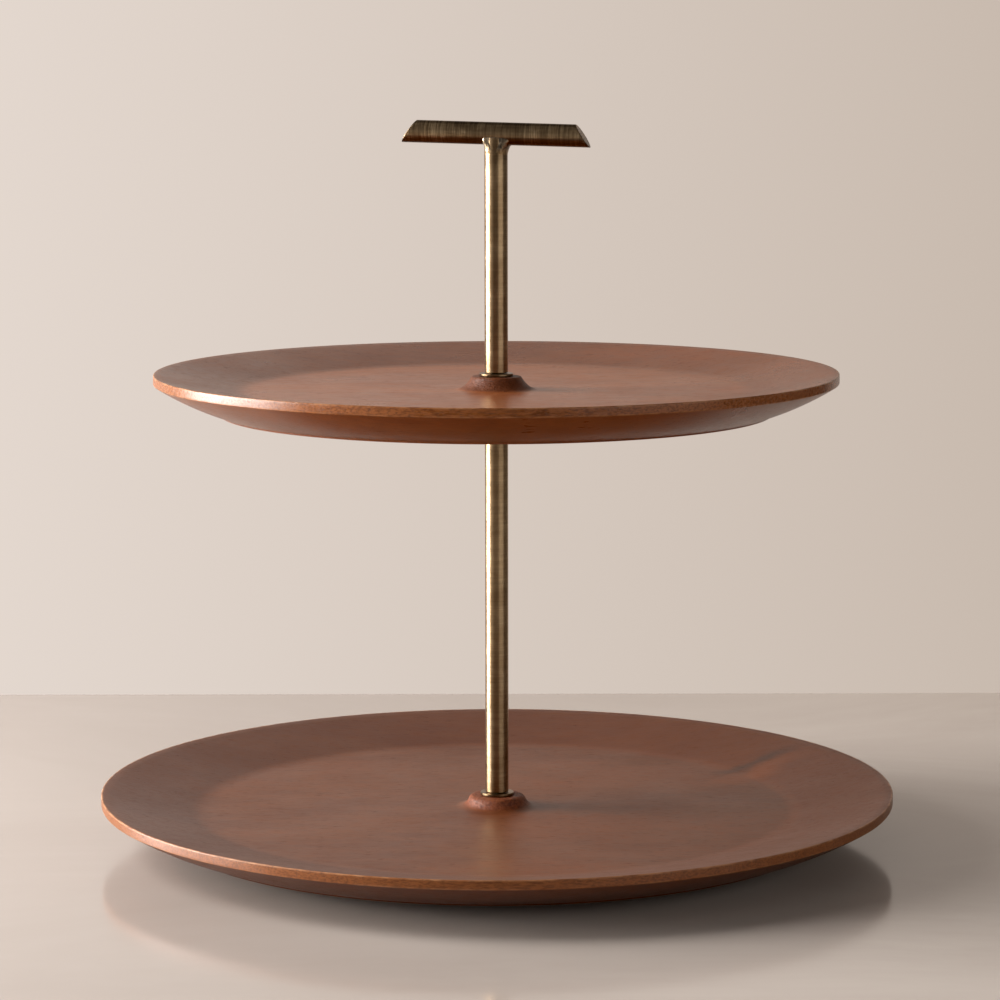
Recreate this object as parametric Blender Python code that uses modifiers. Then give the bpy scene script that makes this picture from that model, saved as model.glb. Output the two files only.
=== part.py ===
"""Two-tier serving stand: two turned wooden plates threaded on a brass rod with a T-handle.

Metres, +Z up. The origin is on the table under the rod's axis, and the handle bar lies along X.
From the bottom up: rubber feet, lower plate, lower rod, upper plate, upper rod, handle bar.
The rods clamp the plates by M6 threads: a screw from below, and a stud through the upper plate.
"""
import math

import bmesh
import bpy
from mathutils import Matrix, Vector

OBJECT_NAME = "tiered_cake_stand"

GAP = 0.0003                      # clearance left between pieces that touch
PLATE_STEPS = 72                  # sides of a turned plate
ROUND_STEPS = 28                  # sides of a rod, washer or screw

# Plates
RIM_BAND = 0.0042                 # height of the upright edge band
RIM_ROUND = 0.0005                # rounding of the band's two arrises
UNDERSIDE_BULGE = 0.0010          # how far the underside swells out from a straight cone
BASE_ROUND = 0.0008
FLOOR_BEND = 0.0040               # half width of the soft bend from floor to rim
BOSS_RADIUS = 0.0116              # raised seat for the rod in the middle of a plate
BOSS_ROUND = 0.0012
BOSS_FLARE_RADIUS = 0.0250        # where the seat's hollow flank runs out on the floor
PLATE_BORE_RADIUS = 0.0034

LOWER_PLATE = dict(rim_radius=0.1778, rim_height=0.0180, base_radius=0.1490,
                   floor_radius=0.1330, floor_height=0.0085, boss_height=0.0138,
                   recess_radius=0.0110, recess_depth=0.0032)
UPPER_PLATE = dict(rim_radius=0.1520, rim_height=0.0182, base_radius=0.1232,
                   floor_radius=0.1140, floor_height=0.0102, boss_height=0.0161,
                   recess_radius=0.0, recess_depth=0.0)
TIER_SPACING = 0.1876             # from the lower plate's base to the upper plate's base

# Feet
FOOT_HEIGHT = 0.0057
FOOT_TOP_RADIUS = 0.0090
FOOT_BOTTOM_RADIUS = 0.0078
FOOT_ROUND = 0.0008
FOOT_CIRCLE_RADIUS = 0.1180
FOOT_ANGLES = dict(back_right=45.0, back_left=135.0, front_left=225.0, front_right=315.0)
FOOT_COUNTERBORE_RADIUS = 0.0042
FOOT_COUNTERBORE_DEPTH = 0.0032
FOOT_SCREW_RADIUS = 0.0017
FOOT_SCREW_HEAD_RADIUS = 0.0033
FOOT_SCREW_HEAD_HEIGHT = 0.0020
FOOT_SCREW_LENGTH = 0.0095        # under the head
FOOT_SCREW_POINT = 0.0020

# Rods and M6 fasteners
ROD_RADIUS = 0.0050
ROD_CHAMFER = 0.0004
THREAD_RADIUS = 0.0030
TAPPED_RADIUS = THREAD_RADIUS + GAP
TAPPED_DEPTH = 0.0140
STUD_ENGAGEMENT = 0.0120          # how far the stud reaches into each rod
THREAD_CHAMFER = 0.0006
WASHER_THICKNESS = 0.0010
FLANGE_WASHER_RADIUS = 0.0075
UNDER_PLATE_WASHER_RADIUS = 0.0090
WASHER_BORE_RADIUS = 0.0033
BASE_WASHER_RADIUS = 0.0090
BASE_WASHER_THICKNESS = 0.0014
BASE_SCREW_LENGTH = 0.0250
BASE_SCREW_HEAD_RADIUS = 0.0053
BASE_SCREW_HEAD_HEIGHT = 0.0033
HEX_SOCKET_WIDTH = 0.0040
HEX_SOCKET_DEPTH = 0.0020

# Handle
BAR_RADIUS = 0.0050
BAR_AXIS_HEIGHT = 0.3170
BAR_LENGTH_BELOW = 0.0850         # tip to tip, along the bar's underside
BAR_END_SETBACK = 0.0067          # how much shorter each end is along the bar's top
BAR_DROOP = math.radians(1.4)     # the brazed bar sits a little low at its +X end
BRAZE_BOTTOM = 0.0086             # below the bar's axis
BRAZE_TOP = 0.0022                # below the bar's axis
BRAZE_NECK_RADIUS = 0.0058
BRAZE_RADIUS = 0.0072

# Heights of the stack, upwards from the table
lower_base = FOOT_HEIGHT + GAP
lower_seat = lower_base + LOWER_PLATE["boss_height"]
lower_rod_bottom = lower_seat + WASHER_THICKNESS + 2 * GAP
upper_base = lower_base + TIER_SPACING
lower_rod_top = upper_base - WASHER_THICKNESS - 2 * GAP
upper_seat = upper_base + UPPER_PLATE["boss_height"]
upper_rod_bottom = upper_seat + WASHER_THICKNESS + 2 * GAP
recess_roof = lower_base + LOWER_PLATE["recess_depth"]
screw_seat = recess_roof - BASE_WASHER_THICKNESS - 2 * GAP


def clear_scene():
    for obj in list(bpy.data.objects):
        bpy.data.objects.remove(obj, do_unlink=True)


def new_collection(name):
    collection = bpy.data.collections.new(name)
    bpy.context.scene.collection.children.link(collection)
    return collection


def material(name, color, roughness, metallic=0.0):
    mat = bpy.data.materials.new(name)
    mat.use_nodes = True
    shader = mat.node_tree.nodes["Principled BSDF"]
    shader.inputs["Base Color"].default_value = (*color, 1.0)
    shader.inputs["Roughness"].default_value = roughness
    shader.inputs["Metallic"].default_value = metallic
    mat.diffuse_color = (*color, 1.0)
    return mat


def place(name, mesh, collection, mat=None, height=0.0):
    """Link a mesh as an object whose origin is on the rod's axis."""
    obj = bpy.data.objects.new(name, mesh)
    obj.location.z = height
    if mat:
        mesh.materials.clear()
        mesh.materials.append(mat)
    collection.objects.link(obj)
    return obj


def baked_mesh(obj, name):
    """The object's mesh with its modifiers applied, smooth apart from its real edges."""
    graph = bpy.context.evaluated_depsgraph_get()
    mesh = bpy.data.meshes.new_from_object(obj.evaluated_get(graph))
    mesh.name = name
    mesh.shade_smooth()
    mesh.set_sharp_from_angle(angle=math.radians(32.0))
    bpy.data.objects.remove(obj, do_unlink=True)
    return mesh


def turned(name, profile, closed, steps=ROUND_STEPS):
    """Turn a profile of (radius, height) points about the Z axis."""
    mesh = bpy.data.meshes.new(name)
    edges = [(i, i + 1) for i in range(len(profile) - 1)]
    if closed:
        edges.append((len(profile) - 1, 0))
    mesh.from_pydata([(r, 0.0, z) for r, z in profile], edges, [])
    obj = place(name, mesh, parts)
    screw = obj.modifiers.new("turn", "SCREW")
    screw.axis = "Z"
    screw.angle = math.tau
    screw.steps = screw.render_steps = steps
    screw.use_merge_vertices = True
    screw.merge_threshold = 0.00001
    return baked_mesh(obj, name)


def cut(obj, cutter):
    """Take a cutter's shape out of an object and leave the result as plain mesh."""
    boolean = obj.modifiers.new("cut", "BOOLEAN")
    boolean.operation = "DIFFERENCE"
    boolean.solver = "EXACT"
    boolean.object = cutter
    name, height = obj.name, obj.location.z
    mat = obj.data.materials[0]
    mesh = baked_mesh(obj, name)
    return place(name, mesh, parts, mat, height)


def cylinder_cutter(name, radius, low, high, x=0.0, y=0.0, steps=ROUND_STEPS):
    mesh = bpy.data.meshes.new(name)
    bm = bmesh.new()
    bmesh.ops.create_cone(bm, cap_ends=True, segments=steps, radius1=radius, radius2=radius,
                          depth=high - low)
    bmesh.ops.translate(bm, verts=bm.verts, vec=(x, y, (low + high) / 2))
    bm.to_mesh(mesh)
    bm.free()
    return hide_cutter(place(name, mesh, cutters))


def hide_cutter(obj):
    obj.hide_render = True
    obj.display_type = "WIRE"
    return obj


def arc(center, radius, start, end, steps):
    """Points on a circle arc, angles in degrees from the outward direction, upwards positive."""
    points = []
    for i in range(steps + 1):
        angle = math.radians(start + (end - start) * i / steps)
        points.append((center[0] + radius * math.cos(angle), center[1] + radius * math.sin(angle)))
    return points


def plate_profile(rim_radius, rim_height, base_radius, floor_radius, floor_height, boss_height,
                  recess_radius, recess_depth):
    """Half section of a plate whose base lies at height 0."""
    points = [(PLATE_BORE_RADIUS, boss_height)]
    points += arc((BOSS_RADIUS - BOSS_ROUND, boss_height - BOSS_ROUND), BOSS_ROUND, 90, 20, 2)
    flank_top = boss_height - BOSS_ROUND
    flank_width = BOSS_FLARE_RADIUS - BOSS_RADIUS
    for i in range(1, 5):
        angle = math.radians(90 * i / 4)
        points.append((BOSS_FLARE_RADIUS - flank_width * math.cos(angle),
                       flank_top - (flank_top - floor_height) * math.sin(angle)))
    # The floor turns up into the sloping rim over a short soft bend
    slope = (rim_height - floor_height) / (rim_radius - floor_radius)
    points.append((floor_radius - FLOOR_BEND, floor_height))
    points.append((floor_radius, floor_height + slope * FLOOR_BEND / 4))
    points.append((floor_radius + FLOOR_BEND, floor_height + slope * FLOOR_BEND))
    # Rim, upright band and its two arrises
    points += arc((rim_radius - RIM_ROUND, rim_height - RIM_ROUND), RIM_ROUND, 90, 0, 2)
    band_low = rim_height - RIM_BAND
    points += arc((rim_radius - RIM_ROUND, band_low + RIM_ROUND), RIM_ROUND, 0, -45, 1)
    # Swelling underside, from the band in to the base
    outer = Vector(points[-1])
    inner = Vector((base_radius, BASE_ROUND))
    along = inner - outer
    outward = Vector((-along.y, along.x)).normalized()
    for i in range(1, 4):
        t = i / 4
        p = outer + along * t + outward * UNDERSIDE_BULGE * 4 * t * (1 - t)
        points.append((p.x, p.y))
    points += arc((base_radius - BASE_ROUND, BASE_ROUND), BASE_ROUND, -10, -90, 2)
    if recess_radius:
        points.append((recess_radius, 0.0))
        points.append((recess_radius, recess_depth))
        points.append((PLATE_BORE_RADIUS, recess_depth))
    else:
        points.append((PLATE_BORE_RADIUS, 0.0))
    return points


def foot_positions():
    for side, angle in FOOT_ANGLES.items():
        a = math.radians(angle)
        yield side, FOOT_CIRCLE_RADIUS * math.cos(a), FOOT_CIRCLE_RADIUS * math.sin(a)


def make_plates(wood):
    lower = place("lower_plate", turned("lower_plate", plate_profile(**LOWER_PLATE), True, PLATE_STEPS),
                  parts, wood, lower_base)
    pilot_top = FOOT_COUNTERBORE_DEPTH + FOOT_SCREW_LENGTH
    for side, x, y in foot_positions():
        hole = cylinder_cutter(f"pilot_hole_{side}", FOOT_SCREW_RADIUS + GAP, 0.0, pilot_top, x, y, 16)
        lower = cut(lower, hole)
    place("upper_plate", turned("upper_plate", plate_profile(**UPPER_PLATE), True, PLATE_STEPS),
          parts, wood, upper_base)


def make_feet(rubber, steel):
    """Rubber feet, each held by a small round-headed wood screw from below."""
    bore = FOOT_SCREW_RADIUS + GAP
    foot_profile = arc((FOOT_TOP_RADIUS - FOOT_ROUND, FOOT_HEIGHT - FOOT_ROUND), FOOT_ROUND, 90, 0, 2)
    foot_profile += arc((FOOT_BOTTOM_RADIUS - FOOT_ROUND, FOOT_ROUND), FOOT_ROUND, 0, -90, 2)
    foot_profile += [(FOOT_COUNTERBORE_RADIUS, 0.0),
                     (FOOT_COUNTERBORE_RADIUS, FOOT_COUNTERBORE_DEPTH),
                     (bore, FOOT_COUNTERBORE_DEPTH),
                     (bore, FOOT_HEIGHT)]
    head_top = FOOT_COUNTERBORE_DEPTH - GAP
    head_low = head_top - FOOT_SCREW_HEAD_HEIGHT
    tip = head_top + FOOT_SCREW_LENGTH
    screw_profile = [(0.0, tip),
                     (FOOT_SCREW_RADIUS, tip - FOOT_SCREW_POINT),
                     (FOOT_SCREW_RADIUS, head_top),
                     (FOOT_SCREW_HEAD_RADIUS, head_top),
                     (FOOT_SCREW_HEAD_RADIUS, head_low + 0.6 * FOOT_SCREW_HEAD_HEIGHT),
                     (FOOT_SCREW_HEAD_RADIUS * 0.75, head_low + 0.15 * FOOT_SCREW_HEAD_HEIGHT),
                     (0.0, head_low)]
    foot_mesh = turned("foot", foot_profile, True, 24)
    screw_mesh = turned("foot_screw", screw_profile, False, 16)
    for side, x, y in foot_positions():
        foot = place(f"foot_{side}", foot_mesh, parts, rubber)
        foot.location = (x, y, 0.0)
        screw = place(f"foot_screw_{side}", screw_mesh, parts, steel)
        screw.location = (x, y, 0.0)


def washer(name, radius, thickness, low, mat):
    chamfer = thickness * 0.2
    profile = [(WASHER_BORE_RADIUS, thickness),
               (radius - chamfer, thickness),
               (radius, thickness - chamfer),
               (radius, chamfer),
               (radius - chamfer, 0.0),
               (WASHER_BORE_RADIUS, 0.0)]
    place(name, turned(name, profile, True), parts, mat, low)


def make_washers(brass, steel):
    washer("lower_flange_washer", FLANGE_WASHER_RADIUS, WASHER_THICKNESS, lower_seat + GAP, brass)
    washer("upper_flange_washer", FLANGE_WASHER_RADIUS, WASHER_THICKNESS, upper_seat + GAP, brass)
    washer("under_plate_washer", UNDER_PLATE_WASHER_RADIUS, WASHER_THICKNESS, lower_rod_top + GAP, brass)
    washer("base_washer", BASE_WASHER_RADIUS, BASE_WASHER_THICKNESS, screw_seat + GAP, steel)


def make_lower_rod(brass):
    """Solid rod, tapped at both ends."""
    length = lower_rod_top - lower_rod_bottom
    profile = [(0.0, length - TAPPED_DEPTH),
               (TAPPED_RADIUS, length - TAPPED_DEPTH),
               (TAPPED_RADIUS, length),
               (ROD_RADIUS - ROD_CHAMFER, length),
               (ROD_RADIUS, length - ROD_CHAMFER),
               (ROD_RADIUS, ROD_CHAMFER),
               (ROD_RADIUS - ROD_CHAMFER, 0.0),
               (TAPPED_RADIUS, 0.0),
               (TAPPED_RADIUS, TAPPED_DEPTH),
               (0.0, TAPPED_DEPTH)]
    place("lower_rod", turned("lower_rod", profile, False), parts, brass, lower_rod_bottom)


def threaded_shaft(length):
    """Outline of a plain M6 shaft with chamfered ends, from height 0 up."""
    return [(0.0, length),
            (THREAD_RADIUS - THREAD_CHAMFER, length),
            (THREAD_RADIUS, length - THREAD_CHAMFER)]


def make_stud(steel):
    """Double-ended stud through the upper plate, into both rods."""
    low = lower_rod_top - STUD_ENGAGEMENT
    length = upper_rod_bottom + STUD_ENGAGEMENT - low
    profile = threaded_shaft(length) + [(THREAD_RADIUS, THREAD_CHAMFER),
                                        (THREAD_RADIUS - THREAD_CHAMFER, 0.0),
                                        (0.0, 0.0)]
    place("middle_stud", turned("middle_stud", profile, False, 20), parts, steel, low)


def make_base_screw(steel):
    """Button-head screw with a hex socket, up through the lower plate into the lower rod."""
    head = BASE_SCREW_HEAD_HEIGHT
    radius = BASE_SCREW_HEAD_RADIUS
    profile = threaded_shaft(BASE_SCREW_LENGTH) + [(THREAD_RADIUS, 0.0), (radius, 0.0)]
    for i in range(1, 5):
        angle = math.radians(90 * i / 5)
        profile.append((radius * math.cos(angle), -head * math.sin(angle)))
    profile.append((0.0, -head))
    screw = place("base_screw", turned("base_screw", profile, False, 24), parts, steel, screw_seat)
    socket_radius = HEX_SOCKET_WIDTH / math.sqrt(3.0)
    low = screw_seat - head
    socket = cylinder_cutter("hex_socket", socket_radius, low - head, low + HEX_SOCKET_DEPTH, steps=6)
    cut(screw, socket)


def bar_mesh(name, radius, length, setback, steps=ROUND_STEPS):
    """Round bar along X about the origin, each end sloped so that the underside is longest."""
    mesh = bpy.data.meshes.new(name)
    bm = bmesh.new()
    bmesh.ops.create_cone(bm, cap_ends=True, segments=steps, radius1=radius, radius2=radius,
                          depth=length)
    bmesh.ops.rotate(bm, verts=bm.verts, matrix=Matrix.Rotation(math.radians(90.0), 3, "Y"))
    for vert in bm.verts:
        share_up = (vert.co.z + radius) / (2 * radius)
        vert.co.x -= math.copysign(setback * share_up, vert.co.x)
    bmesh.ops.rotate(bm, verts=bm.verts, matrix=Matrix.Rotation(BAR_DROOP, 3, "Y"))
    bm.to_mesh(mesh)
    bm.free()
    mesh.shade_smooth()
    mesh.set_sharp_from_angle(angle=math.radians(32.0))
    return mesh


def make_handle(brass):
    """Upper rod coped to the bar, the bar, and the braze collar that joins them."""
    handle_axis = bpy.data.objects.new("handle_axis", None)
    parts.objects.link(handle_axis)

    saddle_mesh = bar_mesh("bar_saddle", BAR_RADIUS + GAP, 4 * BRAZE_RADIUS, 0.0)
    saddle = hide_cutter(place("bar_saddle", saddle_mesh, cutters, height=BAR_AXIS_HEIGHT))

    length = BAR_AXIS_HEIGHT - BRAZE_TOP - upper_rod_bottom
    profile = [(0.0, length),
               (ROD_RADIUS, length),
               (ROD_RADIUS, ROD_CHAMFER),
               (ROD_RADIUS - ROD_CHAMFER, 0.0),
               (TAPPED_RADIUS, 0.0),
               (TAPPED_RADIUS, TAPPED_DEPTH),
               (0.0, TAPPED_DEPTH)]
    rod = place("upper_rod", turned("upper_rod", profile, False), parts, brass, upper_rod_bottom)
    rod = cut(rod, saddle)

    # The collar's flank hollows in from the bar to the rod
    height = BRAZE_BOTTOM - BRAZE_TOP
    bore = ROD_RADIUS + GAP
    collar_profile = [(bore, height), (BRAZE_RADIUS, height)]
    for i in range(1, 5):
        angle = math.radians(90 * i / 4)
        collar_profile.append((BRAZE_RADIUS - (BRAZE_RADIUS - BRAZE_NECK_RADIUS) * math.sin(angle),
                               height * math.cos(angle)))
    collar_profile.append((bore, 0.0))
    collar = place("handle_braze", turned("handle_braze", collar_profile, True), parts, brass,
                   BAR_AXIS_HEIGHT - BRAZE_BOTTOM)
    collar = cut(collar, saddle)

    bar = place("handle_bar", bar_mesh("handle_bar", BAR_RADIUS, BAR_LENGTH_BELOW, BAR_END_SETBACK),
                parts, brass, BAR_AXIS_HEIGHT)
    for piece in (rod, collar, bar):
        piece.parent = handle_axis


clear_scene()
parts = new_collection(OBJECT_NAME)
cutters = new_collection("cutters")

make_plates(material("red_brown_wood", (0.19, 0.075, 0.040), 0.45))
make_feet(material("black_rubber", (0.02, 0.02, 0.02), 0.8),
          material("zinc_steel", (0.55, 0.56, 0.58), 0.35, 1.0))
aged_brass = material("aged_brass", (0.42, 0.32, 0.17), 0.32, 1.0)
plain_steel = material("plain_steel", (0.50, 0.50, 0.51), 0.35, 1.0)
make_washers(aged_brass, plain_steel)
make_lower_rod(aged_brass)
make_stud(plain_steel)
make_base_screw(plain_steel)
make_handle(aged_brass)
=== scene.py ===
# Two-tier cake stand in turned wood and antiqued brass: fine meshes, materials, stage and light.
import math

import bmesh
import bpy
from mathutils import Matrix, Vector, noise


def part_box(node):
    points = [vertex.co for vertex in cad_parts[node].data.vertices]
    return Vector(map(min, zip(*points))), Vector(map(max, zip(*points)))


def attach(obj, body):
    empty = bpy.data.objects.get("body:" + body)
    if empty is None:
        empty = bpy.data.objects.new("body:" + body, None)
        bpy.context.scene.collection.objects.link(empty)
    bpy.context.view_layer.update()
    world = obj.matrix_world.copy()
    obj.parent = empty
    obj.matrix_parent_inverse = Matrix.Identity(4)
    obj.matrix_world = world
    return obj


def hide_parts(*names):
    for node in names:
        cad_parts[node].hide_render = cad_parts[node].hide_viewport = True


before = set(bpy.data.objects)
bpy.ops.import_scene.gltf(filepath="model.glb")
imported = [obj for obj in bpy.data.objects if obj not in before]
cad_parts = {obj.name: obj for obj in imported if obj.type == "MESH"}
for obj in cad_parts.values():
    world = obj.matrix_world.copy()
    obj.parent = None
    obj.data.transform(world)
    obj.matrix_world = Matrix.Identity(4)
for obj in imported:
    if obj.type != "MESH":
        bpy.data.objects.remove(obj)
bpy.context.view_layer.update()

# ---------------------------------------------------------------- view
VIEW_TURN = math.radians(11.5)      # the camera stands this far round to the object's right
CAMERA_DISTANCE = 1.537
CAMERA_HEIGHT = 0.36215
CAMERA_PITCH = math.radians(7.712)
CAMERA_SWING = -0.0010              # radians, so that the rod stands just left of centre
CAMERA_ROLL = -0.0016
LENS = 124.93
SENSOR = 36.0

TO_CAMERA = Vector((math.sin(VIEW_TURN), -math.cos(VIEW_TURN), 0.0))
CAMERA_LEFT = Vector((-math.cos(VIEW_TURN), -math.sin(VIEW_TURN), 0.0))

# ---------------------------------------------------------------- sizes that the frame's boxes don't give
PLATE_STEPS = 320
ROUND_STEPS = 96
SHARP_ANGLE = 34.0

RIM_BAND = 0.0042
RIM_ROUND = 0.0005
UNDERSIDE_BULGE = 0.0010
BASE_ROUND = 0.0008
FLOOR_BEND = 0.0040
PLATE_BORE_RADIUS = 0.0034
LOWER_PLATE = dict(base_radius=0.1490, floor_radius=0.1330, floor_height=0.0085,
                   boss_height=0.0138, boss_radius=0.0130, boss_round=0.0026, flank_slope=70.0,
                   flare_radius=0.0195,
                   recess_radius=0.0110, recess_depth=0.0032)
UPPER_PLATE = dict(base_radius=0.1232, floor_radius=0.1140, floor_height=0.0102,
                   boss_height=0.0161, boss_radius=0.0115, boss_round=0.0014, flank_slope=58.0,
                   flare_radius=0.0185,
                   recess_radius=0.0, recess_depth=0.0)

ROD_RADIUS = 0.0052
ROD_EDGE = 0.0003
ROD_PLAIN_END = 0.0100
ROD_TOP_BELOW_AXIS = 0.0019          # the upper rod ends inside the bar
TAPPED_RADIUS = 0.0033
TAPPED_DEPTH = 0.0140
TAP_THREAD_DEPTH = 0.0002
TAP_CHAMFER = 0.0004
DRILL_POINT = 0.0012
THREAD_PITCH = 0.0010
THREAD_DEPTH = 0.0006
THREAD_CHAMFER = 0.0006
THREAD_SLACK = 0.0003
WASHER_BORE_RADIUS = 0.0033
HEX_SOCKET_WIDTH = 0.0040
HEX_SOCKET_DEPTH = 0.0020
BASE_SCREW_HEAD_HEIGHT = 0.0033
BASE_SCREW_SKIRT = 0.0006
BASE_SCREW_FLAT_RADIUS = 0.0029
BASE_SCREW_PLAIN_NECK = 0.0008

BAR_RADIUS = 0.0050
BAR_AXIS_HEIGHT = 0.3170
BAR_LENGTH_BELOW = 0.0850
BAR_END_SETBACK = 0.0067
BAR_DROOP = math.radians(1.4)
BAR_EDGE = 0.00035
BRAZE_FOOT = 0.0098                 # how far below the bar's axis the braze starts on the rod
BRAZE_REACH = 0.0068                # how far it spreads along the bar
BRAZE_LEAD = 0.0020                 # how far its outline keeps on straight at each end before it turns
BRAZE_SWELL = 0.00010
BRAZE_WRAP = math.radians(76)       # how far it climbs round the bar's front and back
# Lumps in it: direction round the rod in degrees, place across the bead from 0 at its foot to 1,
# width in degrees, height in metres
BRAZE_BLOBS = ((226, 0.80, 15, 0.00050),
               (316, 0.74, 15, 0.00026),
               (226, 0.48, 16, 0.00010),
               (272, 0.62, 20, -0.00022),
               (20, 0.70, 22, 0.00010),
               (95, 0.75, 26, 0.00035),
               (150, 0.60, 20, 0.00030))

FOOT_RADIUS_BELOW = 0.0078
FOOT_COUNTERBORE_RADIUS = 0.0042
FOOT_COUNTERBORE_DEPTH = 0.0032
FOOT_SCREW_RADIUS = 0.0017
FOOT_SCREW_HEAD_HEIGHT = 0.0020
FOOT_SCREW_POINT = 0.0030
CROSS_REACH = 0.00165
CROSS_HALF_WIDTH = 0.00042
CROSS_FLOOR_REACH = 0.00110
CROSS_FLOOR_HALF_WIDTH = 0.00034
CROSS_WALL_DEPTH = 0.0009
CROSS_DEPTH = 0.0012
WOOD_THREAD_PITCH = 0.0011
WOOD_THREAD_DEPTH = 0.0005


# ---------------------------------------------------------------- camera
def make_camera():
    data = bpy.data.cameras.new("camera")
    data.lens = LENS
    data.sensor_width = SENSOR
    data.clip_start = 0.05
    data.clip_end = 50.0
    camera = bpy.data.objects.new("camera", data)
    camera.location = TO_CAMERA * CAMERA_DISTANCE + Vector((0.0, 0.0, CAMERA_HEIGHT))
    turn = Matrix.Rotation(VIEW_TURN + CAMERA_SWING, 4, "Z")
    tilt = Matrix.Rotation(math.radians(90.0) - CAMERA_PITCH, 4, "X")
    roll = Matrix.Rotation(CAMERA_ROLL, 4, "Z")
    camera.rotation_euler = (turn @ tilt @ roll).to_euler()
    bpy.context.scene.collection.objects.link(camera)
    bpy.context.scene.camera = camera


# ---------------------------------------------------------------- outlines
def arc(center, radius, start, end, steps):
    """Points on a circle arc, angles in degrees from the outward direction, upwards positive."""
    points = []
    for i in range(steps + 1):
        angle = math.radians(start + (end - start) * i / steps)
        points.append((center[0] + radius * math.cos(angle), center[1] + radius * math.sin(angle)))
    return points


def between(start, end, steps):
    """Evenly spaced points from start to end, without the two themselves."""
    points = []
    for i in range(1, steps):
        t = i / steps
        points.append((start[0] + (end[0] - start[0]) * t, start[1] + (end[1] - start[1]) * t))
    return points


def curve(a, b, c, steps):
    """Quadratic curve from a to c that heads for b."""
    points = []
    for i in range(steps + 1):
        t = i / steps
        weights = ((1 - t) ** 2, 2 * t * (1 - t), t * t)
        points.append(tuple(sum(w * p[k] for w, p in zip(weights, (a, b, c))) for k in range(len(a))))
    return points


def cubic(a, leave, arrive, b, steps):
    """Cubic curve from a to b that heads for leave and comes in from arrive."""
    points = []
    for i in range(steps + 1):
        t = i / steps
        u = 1 - t
        points.append(a * u ** 3 + leave * 3 * t * u ** 2 + arrive * 3 * t ** 2 * u + b * t ** 3)
    return points


def rounded(corners, steps=5):
    """Outline through (radius, height, rounding) corners, with an arc-like curve at each rounded one."""
    points = []
    for i, (x, y, size) in enumerate(corners):
        if size == 0.0:
            points.append((x, y))
            continue
        here = Vector((x, y))
        before = Vector(corners[i - 1][:2])
        after = Vector(corners[(i + 1) % len(corners)][:2])
        start = here + (before - here).normalized() * size
        end = here + (after - here).normalized() * size
        points += curve(tuple(start), tuple(here), tuple(end), steps)
    return points


def wave(phase):
    """Triangle wave with softened crests: 0 at whole numbers, 1 half way."""
    ramp = abs((phase % 1.0) * 2.0 - 1.0)
    return 1.0 - ramp * ramp * (3.0 - 2.0 * ramp)


def thread(major, depth, pitch):
    """Radius of a right-handed thread as a function of angle and height."""
    def radius(angle, height):
        return major - depth * wave(height / pitch - angle / math.tau)
    return radius


def thread_rings(major, depth, pitch, low, high, low_taper=0.0, high_taper=0.0):
    """Rings of a threaded shaft from low to high, each end tapering to its root over the given length."""
    shape = thread(major, depth, pitch)
    rings = []
    count = max(8, round((high - low) / pitch * 8))
    for i in range(count + 1):
        z = low + (high - low) * i / count
        limit = major
        if low_taper:
            limit = min(limit, major - low_taper + (z - low))
        if high_taper:
            limit = min(limit, major - high_taper + (high - z))
        rings.append((lambda angle, height, limit=limit: min(shape(angle, height), limit), z))
    return rings


def hexagon(width):
    def radius(angle, height):
        sixth = math.tau / 6
        return width / 2 / math.cos((angle + sixth / 2) % sixth - sixth / 2)
    return radius


def cross(reach, half_width):
    """Radius of a cross with four arms."""
    def radius(angle, height):
        c = max(abs(math.cos(angle)), 1e-9)
        s = max(abs(math.sin(angle)), 1e-9)
        return max(min(reach / c, half_width / s), min(half_width / c, reach / s))
    return radius


# ---------------------------------------------------------------- meshes
def shade(mesh, angle=SHARP_ANGLE):
    mesh.shade_smooth()
    mesh.set_sharp_from_angle(angle=math.radians(angle))
    return mesh


def lathe(name, rings, steps=ROUND_STEPS, closed=True, sharp=SHARP_ANGLE):
    """Turn rings of (radius, height) about Z. A radius may be a function of angle and height."""
    bm = bmesh.new()
    loops = []
    for radius, height in rings:
        if radius == 0.0:
            loops.append([bm.verts.new((0.0, 0.0, height))])
            continue
        loop = []
        for i in range(steps):
            angle = math.tau * i / steps
            r = radius(angle, height) if callable(radius) else radius
            loop.append(bm.verts.new((r * math.cos(angle), r * math.sin(angle), height)))
        loops.append(loop)
    pairs = list(zip(loops, loops[1:]))
    if closed:
        pairs.append((loops[-1], loops[0]))
    for a, b in pairs:
        for i in range(steps):
            j = (i + 1) % steps
            corners = (a[i % len(a)], b[i % len(b)], b[j % len(b)], a[j % len(a)])
            bm.faces.new(list(dict.fromkeys(corners)))
    bmesh.ops.recalc_face_normals(bm, faces=bm.faces)
    mesh = bpy.data.meshes.new(name)
    bm.to_mesh(mesh)
    bm.free()
    return shade(mesh, sharp)


def add_piece(name, mesh, body, node, material, location=(0.0, 0.0, 0.0)):
    piece = bpy.data.objects.new(name, mesh)
    piece.location = location
    bpy.context.scene.collection.objects.link(piece)
    if not mesh.materials:
        mesh.materials.append(material)
    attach(piece, body)
    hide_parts(node)
    return piece


def low_of(node):
    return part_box(node)[0]


def high_of(node):
    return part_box(node)[1]


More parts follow.
